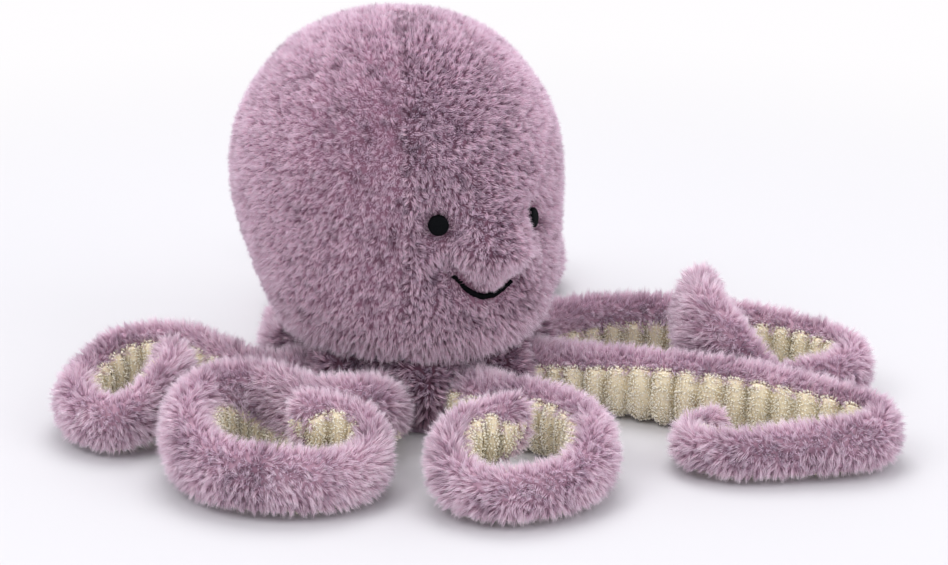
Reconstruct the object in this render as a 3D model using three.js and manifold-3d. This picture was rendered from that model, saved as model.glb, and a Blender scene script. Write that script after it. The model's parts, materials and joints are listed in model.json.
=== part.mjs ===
// A sitting plush octopus: a stuffed head on a weighted base, with eight curled arms.
// Lengths are millimetres, +Z is up, the face looks along -Y and the base rests on z = 0.
// Fur and ribbed panels are solids as thick as their backing and pile together.
import * as THREE from 'three';
import { mergeVertices } from 'three/addons/utils/BufferGeometryUtils.js';
import Module from 'manifold-3d';

const wasm = await Module();
wasm.setup();

// Cloth and stitching
const sewnGap = 0.3;
const pileDepth = 8;
const ribbedDepth = 6;
const baseClothDepth = 3;
const fillClearance = 0.7;

// Head, measured over the pile
const headRadius = 90;
const headTop = 209;
const headRim = 38;
const headLeanBack = 12;
const headLeanRight = 2.5;
const headLeanHeight = 125;
const crownOpening = 3;
const headOutlineShares = [
  [0, 1], [0.34, 0.975], [0.63, 0.9], [0.84, 0.775], [0.955, 0.66], [1, 0.53],
  [0.995, 0.41], [0.945, 0.26], [0.87, 0.1], [0.73, 0],
];

// Face
const faceHalfAngle = 30;
const backHalfAngle = 34;
const faceTilt = 5.3;
const faceTurn = 5.5;
const noseHeight = 97;
const noseReach = 17;
const noseHalfAngle = 16;
const noseRise = 24;
const noseUndercut = 15;
const eyeHeight = 113;
const eyeAngle = 19.5;
const eyeRadius = 5.6;
const eyeDepth = 3.6;
const eyeCrown = 0.9;
const eyeDimple = 5;
const eyeDimpleRadius = 13;
const mouthTurn = 0.5;
const mouthHalfAngle = 11.8;
const mouthCornerHeight = 85.5;
const mouthDip = 10.5;
const mouthSkew = 4;
const mouthThreadRadius = 1.5;
const mouthDimple = 6;
const mouthDimpleRadius = 9;

// Base
const bandInradius = 66;
const bandTop = headRim - sewnGap;
const beanPouchHeight = 18;

// Arms, all of one section; their routes are shares of armLength
const armLength = 300;
const armRootHeight = 36;
const armBellyHeight = 46;
const armTipHeight = 34;
const armRootWidth = 28;
const armBellyWidth = 30;
const armTipWidth = 25;
const ribbedHalfTurn = 68;
const standShare = 0.95;
const wallShare = 0.55;
const tipWallShare = 0.85;
const tipStartShare = 0.9;

// Mesh steps
const armSteps = 18;
const furOuterSteps = 6;
const furInnerSteps = 3;
const ribbedOuterSteps = 4;
const ribbedInnerSteps = 2;
const faceSteps = 12;
const sideSteps = 7;
const backSteps = 4;
const headHeightSteps = 14;
const mouthSteps = 14;
const threadSides = 6;
const eyeSides = 16;
const eyeCrownSteps = 3;
const pouchSides = 24;

// Finishes, from the photograph
const lilacFur = { color: 0xa88da6, roughness: 1, metalness: 0 };
const creamRib = { color: 0xddd3a8, roughness: 1, metalness: 0 };
const whiteFibre = { color: 0xf2efe6, roughness: 1, metalness: 0 };
const pouchCotton = { color: 0xe6ddcb, roughness: 0.95, metalness: 0 };
const blackThread = { color: 0x15171a, roughness: 0.6, metalness: 0 };

// Each arm's centre line, in the arm's own frame: [out from its seam, to its left] as shares of
// the arm's length. ribTurns gives, at shares along the arm, where the ribbed side faces: 0 is
// the arm's left, -90 the floor, -180 its right. fullShares scales how tall the arm stands,
// wideShares how wide it is, and raiseShares lifts it off the floor, in shares of belly height.
const ribsOnRight = [[0, -140], [0.25, -158], [1, -160]];
const ribsOnLeft = [[0, -40], [0.25, -22], [1, -20]];
const evenShares = [[0, 1], [1, 1]];
const broadRootShares = [[0, 1.4], [0.22, 1]];
const fullRootShares = [[0, 1.2], [0.15, 1]];
const onFloorShares = [[0, 0], [1, 0]];
const armPlans = [
  {
    name: 'arm_front', bearing: 0,
    routeShares: [[0, 0], [0.05, 0], [0.11, 0.02], [0.2, 0.05], [0.3, 0.05], [0.39, -0.01],
      [0.41, -0.11], [0.37, -0.19], [0.3, -0.21], [0.25, -0.17], [0.25, -0.11], [0.29, -0.06]],
    ribTurns: ribsOnRight, fullShares: [[0, 1], [0.4, 0.9], [0.55, 0.7], [0.68, 0.7], [0.85, 1], [1, 1.15]],
    raiseShares: [[0, 0], [0.7, 0], [0.95, 0.28], [1, 0.28]],
    wideShares: broadRootShares,
  },
  {
    name: 'arm_front_left', bearing: 45,
    routeShares: [[0, 0], [0.05, 0], [0.16, -0.03], [0.28, -0.06], [0.41, -0.07], [0.54, -0.08],
      [0.63, -0.11], [0.63, -0.18], [0.52, -0.24], [0.41, -0.28], [0.33, -0.25], [0.34, -0.2],
      [0.39, -0.18]],
    ribTurns: ribsOnRight, fullShares: [[0, 1], [0.3, 0.95], [0.6, 0.75], [1, 0.75]],
    raiseShares: onFloorShares,
    wideShares: broadRootShares,
  },
  {
    name: 'arm_left', bearing: 90,
    routeShares: [[0, 0], [0.05, 0], [0.14, -0.03], [0.25, -0.11], [0.36, -0.21], [0.43, -0.32],
      [0.45, -0.42], [0.38, -0.47], [0.29, -0.44], [0.22, -0.39], [0.19, -0.33], [0.22, -0.27],
      [0.25, -0.24]],
    ribTurns: [[0, -120], [0.3, -135], [0.5, -158], [1, -160]],
    fullShares: [[0, 1], [0.35, 0.9], [0.55, 0.8], [0.78, 0.75], [0.88, 1.6], [0.93, 1.8], [1, 1.6]],
    raiseShares: [[0, 0], [0.76, 0], [0.9, 0.25], [1, 0.25]],
    wideShares: [[0, 1.4], [0.22, 1], [0.9, 1], [0.96, 1.8], [1, 1.8]],
  },
  {
    name: 'arm_back_left', bearing: 135,
    routeShares: [[0, 0], [0.05, 0], [0.16, 0.01], [0.29, 0.05], [0.4, 0.06], [0.46, 0.01],
      [0.44, -0.07], [0.37, -0.1], [0.3, -0.09], [0.28, -0.04]],
    ribTurns: ribsOnRight, fullShares: evenShares, raiseShares: onFloorShares,
    wideShares: fullRootShares,
  },
  {
    name: 'arm_back', bearing: 180,
    routeShares: [[0, 0], [0.05, 0], [0.1, -0.04], [0.14, -0.12], [0.21, -0.2], [0.3, -0.26],
      [0.41, -0.31], [0.5, -0.31], [0.56, -0.25], [0.55, -0.17], [0.49, -0.13]],
    ribTurns: ribsOnLeft, fullShares: evenShares, raiseShares: onFloorShares,
    wideShares: fullRootShares,
  },
  {
    name: 'arm_back_right', bearing: 225,
    routeShares: [[0, 0], [0.03, -0.01], [0.06, -0.06], [0.08, -0.17], [0.11, -0.28],
      [0.15, -0.4], [0.15, -0.48], [0.09, -0.49], [0.05, -0.44], [0.05, -0.38], [0.08, -0.35]],
    ribTurns: ribsOnRight, fullShares: [[0, 1], [0.12, 0.7], [0.6, 0.7], [1, 0.85]],
    raiseShares: onFloorShares,
    wideShares: evenShares,
  },
  {
    name: 'arm_right', bearing: 270,
    routeShares: [[0, 0], [0.04, 0], [0.09, -0.02], [0.13, -0.09], [0.18, -0.16], [0.28, -0.18],
      [0.38, -0.11], [0.4, -0.01], [0.36, 0.04], [0.29, 0.03], [0.24, -0.01], [0.24, -0.06]],
    ribTurns: ribsOnLeft, fullShares: [[0, 1], [0.4, 1], [0.55, 0.8], [0.75, 0.8], [0.95, 1.15], [1, 1.15]],
    raiseShares: [[0, 0], [0.75, 0], [0.95, 0.25], [1, 0.25]],
    wideShares: broadRootShares,
  },
  {
    name: 'arm_front_right', bearing: 315,
    routeShares: [[0, 0], [0.04, 0.02], [0.08, 0.04], [0.14, 0.03], [0.17, -0.01], [0.17, -0.07],
      [0.14, -0.13], [0.14, -0.18], [0.17, -0.22], [0.23, -0.24], [0.31, -0.22], [0.38, -0.15],
      [0.39, -0.04], [0.35, 0.05], [0.28, 0.08], [0.23, 0.05], [0.24, -0.01], [0.27, -0.06]],
    ribTurns: [[0, -115], [0.08, -108], [0.56, -25], [1, -20]],
    fullShares: [[0, 1], [0.15, 1], [0.32, 1.12], [0.45, 1.12], [0.6, 0.85], [0.8, 0.85],
      [0.94, 1.1], [1, 1.1]],
    raiseShares: [[0, 0], [0.05, 0], [0.14, 0.22], [0.27, 0], [0.8, 0], [0.95, 0.25],
      [1, 0.25]],
    wideShares: [[0, 1.25], [0.12, 1]],
  },
];

const radians = THREE.MathUtils.degToRad;
const mouthShares = Array.from({ length: mouthSteps + 1 }, (_, step) => (
  THREE.MathUtils.lerp(-1, 1, step / mouthSteps)));

function material(finish) {
  return new THREE.MeshStandardMaterial(finish);
}

// Read a table of [share, value] pairs with eased steps between its rows.
function eased(table, share) {
  let [lastShare, lastValue] = table[0];
  for (const [nextShare, nextValue] of table.slice(1)) {
    if (share <= nextShare) {
      const t = THREE.MathUtils.smoothstep(share, lastShare, nextShare);
      return THREE.MathUtils.lerp(lastValue, nextValue, t);
    }
    [lastShare, lastValue] = [nextShare, nextValue];
  }
  return lastValue;
}

// Join rings of points, all of one size, into a closed solid with a flat cap at each end. The
// closing side is split the other way, so two panels that meet there have matching faces.
function ringSolid(rings) {
  const size = rings[0].length;
  const points = rings.flat();
  const faces = [];
  for (let ring = 0; ring + 1 < rings.length; ring += 1) {
    for (let side = 0; side < size; side += 1) {
      const next = (side + 1) % size;
      const [a, b] = [ring * size + side, ring * size + next];
      const [c, d] = [a + size, b + size];
      faces.push(...(next === 0 ? [a, b, c, b, d, c] : [a, b, d, a, d, c]));
    }
  }
  const capFaces = (ring, flip) => {
    const outline = flatOutline(ring);
    for (const [a, b, c] of THREE.ShapeUtils.triangulateShape(outline, [])) {
      const offset = rings.indexOf(ring) * size;
      faces.push(...(flip ? [a, c, b] : [a, b, c]).map((corner) => corner + offset));
    }
  };
  capFaces(rings[0], true);
  capFaces(rings.at(-1), false);
  return outwardGeometry(points, faces);
}

// Lay a nearly flat ring out in its own plane, so that it can be cut into triangles.
function flatOutline(ring) {
  const centre = ring.reduce((sum, point) => sum.add(point), new THREE.Vector3());
  centre.divideScalar(ring.length);
  const normal = new THREE.Vector3();
  ring.forEach((point, i) => {
    const next = ring[(i + 1) % ring.length];
    normal.add(point.clone().sub(centre).cross(next.clone().sub(centre)));
  });
  normal.normalize();
  const across = ring[0].clone().sub(centre).projectOnPlane(normal).normalize();
  const along = normal.clone().cross(across);
  return ring.map((point) => {
    const offset = point.clone().sub(centre);
    return new THREE.Vector2(offset.dot(across), offset.dot(along));
  });
}

// Make the geometry, turned so that its faces point out.
function outwardGeometry(points, faces) {
  let volume = 0;
  for (let i = 0; i < faces.length; i += 3) {
    const [a, b, c] = [points[faces[i]], points[faces[i + 1]], points[faces[i + 2]]];
    volume += a.dot(b.clone().cross(c));
  }
  const geometry = new THREE.BufferGeometry();
  geometry.setAttribute('position', new THREE.Float32BufferAttribute(
    points.flatMap((point) => point.toArray()), 3));
  const turned = faces.slice();
  if (volume < 0) {
    for (let i = 0; i < turned.length; i += 3) {
      [turned[i + 1], turned[i + 2]] = [turned[i + 2], turned[i + 1]];
    }
  }
  geometry.setIndex(turned);
  return geometry;
}

function toManifold(geometry) {
  const bare = geometry.clone();
  bare.deleteAttribute('normal');
  bare.deleteAttribute('uv');
  const merged = mergeVertices(bare);
  return new wasm.Manifold(new wasm.Mesh({
    numProp: 3,
    vertProperties: new Float32Array(merged.attributes.position.array),
    triVerts: new Uint32Array(merged.index.array),
  }));
}

function fromManifold(solid) {
  const mesh = solid.getMesh();
  const geometry = new THREE.BufferGeometry();
  geometry.setAttribute('position', new THREE.BufferAttribute(mesh.vertProperties, 3));
  geometry.setIndex(new THREE.BufferAttribute(mesh.triVerts, 1));
  return geometry;
}

function cutFrom(geometry, tools) {
  let solid = toManifold(geometry);
  for (const tool of tools) {
    solid = solid.subtract(toManifold(tool));
  }
  return fromManifold(solid);
}

// The head's outline from crown to rim, and the same outline drawn in by an inset.
const headOutline = new THREE.SplineCurve(headOutlineShares.map(([out, up]) => (
  new THREE.Vector2(out * headRadius, THREE.MathUtils.lerp(headRim, headTop, up)))));

function headOutlinePoint(share, inset) {
  const point = headOutline.getPointAt(share);
  const tangent = headOutline.getTangentAt(share);
  const inward = new THREE.Vector2(tangent.y, -tangent.x).multiplyScalar(-1);
  if (inward.x > 0) {
    inward.negate();
  }
  const down = share === 0 ? new THREE.Vector2(0, -1) : inward;
  return point.addScaledVector(down, inset);
}

// How far a dimple draws the face in at a distance from its middle.
function drawnIn(depth, radius, distance) {
  return depth * Math.exp(-((distance / radius) ** 2));
}

// How far the face stands out from the plain outline, at an angle from its middle and a height:
// the nose pushes it forward, and the stitches of the eyes and the mouth draw it in.
function facePush(angle, height) {
  const reach = height > noseHeight ? noseRise : noseUndercut;
  const up = (height - noseHeight) / reach;
  const around = (angle - faceTurn) / noseHalfAngle;
  let push = noseReach * Math.exp(-up * up - around * around);
  const distanceTo = (otherAngle, otherHeight) => (
    Math.hypot(radians(angle - otherAngle) * headRadius, height - otherHeight));
  for (const side of [-1, 1]) {
    const eyeAt = eyeTurn(side);
    push -= drawnIn(eyeDimple, eyeDimpleRadius, distanceTo(eyeAt, tilted(eyeAt, eyeHeight)));
  }
  const toMouth = mouthShares.map((across) => (
    distanceTo(mouthAngle(across), mouthHeight(across))));
  return push - drawnIn(mouthDimple, mouthDimpleRadius, Math.min(...toMouth));
}

// The face is sewn on at a slight tilt, so its features sit lower towards the octopus's left.
function tilted(angle, height) {
  return height - Math.tan(radians(faceTilt)) * headRadius * Math.sin(radians(angle));
}

function eyeTurn(side) {
  return faceTurn + side * eyeAngle;
}

function mouthAngle(across) {
  return mouthTurn + across * mouthHalfAngle;
}

// The smile is stitched a little higher on the octopus's right.
function mouthHeight(across) {
  const height = mouthCornerHeight - mouthSkew * across - mouthDip * (1 - across * across);
  return tilted(mouthAngle(across), height);
}

// A point of the head: angle around from the face's middle, share down the outline, and inset.
function headPoint(angle, share, inset) {
  const outline = headOutlinePoint(share, inset);
  const signedAngle = THREE.MathUtils.euclideanModulo(angle + 180, 360) - 180;
  const out = outline.x + facePush(signedAngle, outline.y);
  const leanShare = THREE.MathUtils.smoothstep(outline.y, headRim, headLeanHeight);
  return new THREE.Vector3(
    out * Math.sin(radians(angle)) - headLeanRight * leanShare,
    headLeanBack * leanShare - out * Math.cos(radians(angle)),
    outline.y,
  );
}

// The share of the outline at which the head has a given height.
function headShareAt(height) {
  let [low, high] = [0, 1];
  while (high - low > 1e-4) {
    const middle = (low + high) / 2;
    if (headOutline.getPointAt(middle).y > height) {
      low = middle;
    } else {
      high = middle;
    }
  }
  return low;
}

// The angles of a head panel's strips, from one seam to the next.
function stripAngles(startAngle, endAngle, steps) {
  return Array.from({ length: steps + 1 }, (_, step) => (
    THREE.MathUtils.lerp(startAngle, endAngle, step / steps)));
}

// One sewn panel of the head, from a small opening at the crown down to the rim.
function headPanel(startAngle, endAngle, steps) {
  const strips = stripAngles(startAngle, endAngle, steps).map((angle, step) => {
    const edge = step === 0 ? 1 : step === steps ? -1 : 0;
    return headPanelStrip(angle, edge * sewnGap / 2);
  });
  return ringSolid(strips);
}

function headRowShare(row) {
  const crownShare = crownOpening / headOutline.getLength();
  return THREE.MathUtils.lerp(crownShare, 1, row / headHeightSteps);
}

function headPanelStrip(angle, shift) {
  const aside = new THREE.Vector3(Math.cos(radians(angle)), Math.sin(radians(angle)), 0);
  const strip = (inset) => Array.from({ length: headHeightSteps + 1 }, (_, row) => (
    headPoint(angle, headRowShare(row), inset).addScaledVector(aside, shift)));
  const inner = strip(pileDepth);
  inner.at(-1).z = headRim;
  return [...strip(0), ...inner.reverse()];
}

// An embroidered eye and the hollow it presses into the pile.
function eyeDisc(radius, depth, crown) {
  const curve = new THREE.EllipseCurve(0, depth - crown, radius, crown, 0, Math.PI / 2);
  const rounded = curve.getPoints(eyeCrownSteps).slice(0, -1);
  const outline = [new THREE.Vector2(0, 0), new THREE.Vector2(radius, 0), ...rounded,
    new THREE.Vector2(0, depth)];
  const disc = new THREE.LatheGeometry(outline, eyeSides);
  disc.rotateX(Math.PI / 2);
  return disc;
}

// The direction straight out of the face at an angle and a height.
function faceOut(angle, height) {
  const share = headShareAt(height);
  const aside = headPoint(angle + 1, share, 0).sub(headPoint(angle - 1, share, 0));
  const above = headPoint(angle, headShareAt(height + sewnGap), 0);
  const upward = above.sub(headPoint(angle, headShareAt(height - sewnGap), 0));
  return aside.cross(upward).normalize();
}

function placedOnFace(geometry, angle, height, sink) {
  const out = faceOut(angle, height);
  const middle = headPoint(angle, headShareAt(height), 0);
  const turn = new THREE.Quaternion().setFromUnitVectors(new THREE.Vector3(0, 0, 1), out);
  geometry.applyQuaternion(turn);
  geometry.translate(...middle.addScaledVector(out, -sink).toArray());
  return geometry;
}

function eye(side) {
  const angle = eyeTurn(side);
  return placedOnFace(eyeDisc(eyeRadius, eyeDepth, eyeCrown), angle, tilted(angle, eyeHeight),
    eyeDepth);
}

function eyeHollow(side) {
  const angle = eyeTurn(side);
  const hollow = eyeDisc(eyeRadius + sewnGap, eyeDepth + pileDepth, eyeCrown);
  return placedOnFace(hollow, angle, tilted(angle, eyeHeight), eyeDepth + sewnGap);
}

// The smile's thread as a tube with half of it proud of the pile, through the given shares of
// its way. With a rise, the same tube becomes the groove it lies in, open to the front.
function smile(shares, radius, rise) {
  return ringSolid(shares.map((across) => {
    const out = faceOut(mouthAngle(across), mouthHeight(across));
    const along = smilePoint(across + 1 / mouthSteps).sub(smilePoint(across - 1 / mouthSteps));
    const side = along.cross(out).normalize();
    return Array.from({ length: threadSides }, (_, i) => {
      const turn = 2 * Math.PI * (i + 0.5) / threadSides;
      const outward = radius * Math.sin(turn) + (Math.sin(turn) > 0 ? rise : 0);
      return smilePoint(across).addScaledVector(side, radius * Math.cos(turn))
        .addScaledVector(out, outward);
    });
  }));
}

function smilePoint(across) {
  return headPoint(mouthAngle(across), headShareAt(mouthHeight(across)), 0);
}

// Stuffing in the head: the panels' inside, closed at the top and cut off over the pouch.
function headFilling() {
  const sideEnd = 180 - backHalfAngle;
  const angles = [
    ...stripAngles(-faceHalfAngle, faceHalfAngle, faceSteps).slice(1),
    ...stripAngles(faceHalfAngle, sideEnd, sideSteps).slice(1),
    ...stripAngles(sideEnd, 180 + backHalfAngle, backSteps).slice(1),
    ...stripAngles(180 + backHalfAngle, 360 - faceHalfAngle, sideSteps).slice(1),
  ];
  const row = (number) => angles.map((angle) => (
    headPoint(angle, headRowShare(number), pileDepth + fillClearance)));
  const rows = Array.from({ length: headHeightSteps - 1 }, (_, i) => row(headHeightSteps - 1 - i));
  const neckRadius = bandInradius - pileDepth - fillClearance;
  const neck = (height) => angles.map((angle) => new THREE.Vector3(
    neckRadius * Math.sin(radians(angle)), -neckRadius * Math.cos(radians(angle)), height));
  const floor = baseClothDepth + beanPouchHeight + 2 * sewnGap;
  return ringSolid([neck(floor), neck(headRim), ...rows]);
}

function octagon(inradius) {
  const corner = inradius / Math.cos(Math.PI / 8);
  return Array.from({ length: 8 }, (_, i) => {
    const turn = Math.PI / 8 + i * Math.PI / 4;
    return new THREE.Vector2(corner * Math.cos(turn), corner * Math.sin(turn));
  });
}

// The band that the arms are sewn to, and the round base cloth under it.
function armBand() {
  const shape = new THREE.Shape(octagon(bandInradius));
  shape.holes.push(new THREE.Path(octagon(bandInradius - pileDepth)));
  const bottom = baseClothDepth + sewnGap;
  const band = new THREE.ExtrudeGeometry(shape, { depth: bandTop - bottom, bevelEnabled: false });
  band.translate(0, 0, bottom);
  return band;
}

function baseCloth() {
  const shape = new THREE.Shape(octagon(bandInradius));
  return new THREE.ExtrudeGeometry(shape, { depth: baseClothDepth, bevelEnabled: false });
}

function beanPouch() {
  const radius = bandInradius - pileDepth - sewnGap;
  const soften = beanPouchHeight / 3;
  const outline = [
    new THREE.Vector2(0, 0),
    new THREE.Vector2(radius - soften, 0),
    new THREE.Vector2(radius, soften),
    new THREE.Vector2(radius, beanPouchHeight - soften),
    new THREE.Vector2(radius - soften, beanPouchHeight),
    new THREE.Vector2(0, beanPouchHeight),
  ];
  const pouch = new THREE.LatheGeometry(outline, pouchSides);
  pouch.rotateX(Math.PI / 2);
  pouch.translate(0, 0, baseClothDepth + sewnGap);
  return pouch;
}

// Place and heading at each ring along an arm, with the tables of its plan read off there.
function armRings(plan) {
  const bearing = radians(plan.bearing);
  const out = new THREE.Vector3(Math.sin(bearing), -Math.cos(bearing), 0);
  const left = new THREE.Vector3(Math.cos(bearing), Math.sin(bearing), 0);
  const seam = out.clone().multiplyScalar(bandInradius + sewnGap);
  const points = plan.routeShares.map(([outShare, leftShare]) => (
    seam.clone().addScaledVector(out, outShare * armLength)
      .addScaledVector(left, leftShare * armLength)));
  const route = new THREE.CatmullRomCurve3(points);
  return Array.from({ length: armSteps + 1 }, (_, i) => {
    const share = i / armSteps;
    const along = i === 0 ? out : route.getTangentAt(share);
    return {
      share,
      place: route.getPointAt(share),
      left: new THREE.Vector3(-along.y, along.x, 0),
      ribTurn: eased(plan.ribTurns, share),
      full: eased(plan.fullShares, share),
      wide: eased(plan.wideShares, share) * eased(armWidths, share) / 2,
      raise: eased(plan.raiseShares, share) * armBellyHeight,
    };
  });
}

// An arm swells from its seam to its belly, narrows towards the tip and rounds off there.
const armRoundingShares = [[tipStartShare, 1], [0.96, 0.9], [1, 0.62]];
const armHeights = [[0, armRootHeight], [0.3, armBellyHeight], [0.6, armBellyHeight],
  [1, armTipHeight]];
const armWidths = [[0, armRootWidth], [0.3, armBellyWidth], [0.6, armBellyWidth],
  [1, armTipWidth]];

// A point of an arm's section: turn 0 is the arm's left, 90 its top. It never dips under the
// floor, or with an inset under a floor that much higher.
function sectionPoint(ring, turn, inset) {
  const tallHalf = ring.full * eased(armHeights, ring.share) / 2;
  const wideHalf = Math.sqrt(ring.full) * ring.wide;
  const rounding = eased(armRoundingShares, ring.share);
  const aside = (rounding * wideHalf - inset) * Math.cos(radians(turn));
  const up = (rounding * tallHalf - inset) * Math.sin(radians(turn));
  const point = ring.place.clone().addScaledVector(ring.left, aside);
  point.z = ring.raise + Math.max(inset, standShare * tallHalf + up);
  return point;
}

// Points along the section between two seams, which are turns counted from the ribbed side.
function sectionArc(ring, startTurn, endTurn, steps, inset) {
  const edgeTurn = THREE.MathUtils.radToDeg(sewnGap / (armTipWidth / 2));
  return Array.from({ length: steps + 1 }, (_, i) => {
    const [from, to] = [startTurn + edgeTurn, endTurn - edgeTurn];
    const turn = ring.ribTurn + THREE.MathUtils.lerp(from, to, i / steps);
    return sectionPoint(ring, turn, inset);
  });
}

function wallDepth(ring, depth) {
  const share = eased([[tipStartShare, wallShare], [1, tipWallShare]], ring.share);
  const half = eased(armRoundingShares, ring.share) * eased(armWidths, ring.share) / 2;
  return Math.min(depth, share * half);
}

// An arm's two sewn panels are curved walls that meet along its two seams.
function ribbedPanel(rings) {
  const arc = (ring, steps, inset) => (
    sectionArc(ring, -ribbedHalfTurn, ribbedHalfTurn, steps, inset));
  return ringSolid(rings.map((ring) => [
    ...arc(ring, ribbedOuterSteps, 0),
    ...arc(ring, ribbedInnerSteps, wallDepth(ring, ribbedDepth)).reverse(),
  ]));
}

function furPanel(rings) {
  const arc = (ring, steps, inset) => (
    sectionArc(ring, ribbedHalfTurn, 360 - ribbedHalfTurn, steps, inset));
  return ringSolid(rings.map((ring) => [
    ...arc(ring, furOuterSteps, 0),
    ...arc(ring, furInnerSteps, wallDepth(ring, pileDepth)).reverse(),
  ]));
}

// Stuffing as large as the inside of the two panels, less a clearance.
function armFilling(rings) {
  return ringSolid(rings.slice(0, -1).map((ring) => {
    const inset = (depth) => wallDepth(ring, depth) + fillClearance;
    const besideRibs = sectionArc(ring, -ribbedHalfTurn, ribbedHalfTurn, ribbedInnerSteps,
      inset(ribbedDepth));
    const besideFur = sectionArc(ring, ribbedHalfTurn, 360 - ribbedHalfTurn, furInnerSteps,
      inset(pileDepth));
    return [...besideRibs, ...besideFur].reverse();
  }));
}

const octopus = new THREE.Group();

function addPiece(name, geometry, finish) {
  const mesh = new THREE.Mesh(geometry, material(finish));
  mesh.name = name;
  octopus.add(mesh);
}

function addHead() {
  const sideEnd = 180 - backHalfAngle;
  const facePanel = headPanel(-faceHalfAngle, faceHalfAngle, faceSteps);
  const overrun = 2 * sewnGap / mouthThreadRadius / mouthSteps;
  const grooveShares = [-1 - overrun, ...mouthShares, 1 + overrun];
  const groove = smile(grooveShares, mouthThreadRadius + sewnGap, pileDepth);
  addPiece('face_panel', cutFrom(facePanel, [eyeHollow(-1), eyeHollow(1), groove]), lilacFur);
  addPiece('head_left_panel', headPanel(faceHalfAngle, sideEnd, sideSteps), lilacFur);
  addPiece('head_right_panel', headPanel(-sideEnd, -faceHalfAngle, sideSteps), lilacFur);
  addPiece('head_back_panel', headPanel(sideEnd, 180 + backHalfAngle, backSteps), lilacFur);
  addPiece('left_eye', eye(1), blackThread);
  addPiece('right_eye', eye(-1), blackThread);
  addPiece('smile_stitching', smile(mouthShares, mouthThreadRadius, 0), blackThread);
  addPiece('head_filling', headFilling(), whiteFibre);
}

function addBase() {
  addPiece('arm_seam_band', armBand(), lilacFur);
  addPiece('base_cloth', baseCloth(), lilacFur);
  addPiece('bean_pouch', beanPouch(), pouchCotton);
}

function addArm(plan) {
  const rings = armRings(plan);
  addPiece(`${plan.name}_ribbed_panel`, ribbedPanel(rings), creamRib);
  addPiece(`${plan.name}_fur_panel`, furPanel(rings), lilacFur);
  addPiece(`${plan.name}_filling`, armFilling(rings), whiteFibre);
}

addHead();
addBase();
armPlans.forEach(addArm);

export default octopus;
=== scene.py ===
# A sitting plush octopus: long lilac pile outside, ribbed cream chenille along the inside of each
# arm, an embroidered face. Metres, +Z up, the face looks along -Y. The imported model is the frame:
# skins, ribs and stuffing are measured off its solids, and the pile stands on the skins.
import json
import math

import bmesh
import bpy
import numpy as np
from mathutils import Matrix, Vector, noise
from mathutils.bvhtree import BVHTree

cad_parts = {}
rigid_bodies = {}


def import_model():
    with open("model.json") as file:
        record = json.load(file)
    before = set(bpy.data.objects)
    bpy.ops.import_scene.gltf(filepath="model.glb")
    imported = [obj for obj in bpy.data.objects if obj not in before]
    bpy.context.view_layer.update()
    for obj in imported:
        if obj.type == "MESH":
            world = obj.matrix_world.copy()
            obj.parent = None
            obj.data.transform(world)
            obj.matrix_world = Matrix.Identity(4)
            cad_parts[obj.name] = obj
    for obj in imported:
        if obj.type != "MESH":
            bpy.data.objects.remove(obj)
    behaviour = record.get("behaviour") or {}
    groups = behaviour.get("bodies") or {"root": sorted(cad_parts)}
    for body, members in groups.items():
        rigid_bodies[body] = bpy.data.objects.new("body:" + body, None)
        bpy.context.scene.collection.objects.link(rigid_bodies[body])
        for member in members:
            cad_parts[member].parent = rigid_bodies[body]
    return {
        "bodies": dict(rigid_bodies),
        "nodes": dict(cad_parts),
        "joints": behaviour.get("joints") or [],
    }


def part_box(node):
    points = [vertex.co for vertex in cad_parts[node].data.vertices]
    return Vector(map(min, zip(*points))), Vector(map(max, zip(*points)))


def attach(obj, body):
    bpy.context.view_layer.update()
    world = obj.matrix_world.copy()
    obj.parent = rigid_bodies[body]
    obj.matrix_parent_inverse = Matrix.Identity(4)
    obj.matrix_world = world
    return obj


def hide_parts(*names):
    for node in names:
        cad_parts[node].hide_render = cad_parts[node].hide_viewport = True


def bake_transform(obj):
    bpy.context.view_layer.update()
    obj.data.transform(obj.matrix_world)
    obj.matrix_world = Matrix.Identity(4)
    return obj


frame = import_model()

MM = 0.001
HEAD = "head_and_base"
ARMS = [body for body in frame["bodies"] if body != HEAD]

# Photograph and camera
IMAGE_WIDTH, IMAGE_HEIGHT = 948, 565
BASE_PIXEL_X, BASE_PIXEL_Y = 412, 385
PIXEL_SIZE = 0.55 * MM
CAMERA_AZIMUTH, CAMERA_ELEVATION = -28.0, 21.0
CAMERA_DISTANCE = 1300 * MM
SENSOR_WIDTH = 36.0

# Studio
# A lamp stands so many metres back, right and up, faces a height, and has a width and watts.
LAMPS = {
    "key lamp": (0.9, -1.0, 1.3, 0.08, 1.1, 10),
    "fill lamp": (0.9, 1.2, 0.7, 0.08, 1.2, 6),
    "top lamp": (-0.5, 0.0, 1.8, 0.05, 1.2, 12),
}
SKY_COLOUR, SKY_STRENGTH = (0.97, 0.975, 1.0), 0.85
BACKGROUND_COLOUR = (1.0, 0.985, 1.0)
FLOOR_COLOUR = (0.68, 0.67, 0.695)
FLOOR_REACH = 6000 * MM
WHITE_FROM, WHITE_TO = 340 * MM, 900 * MM

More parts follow.
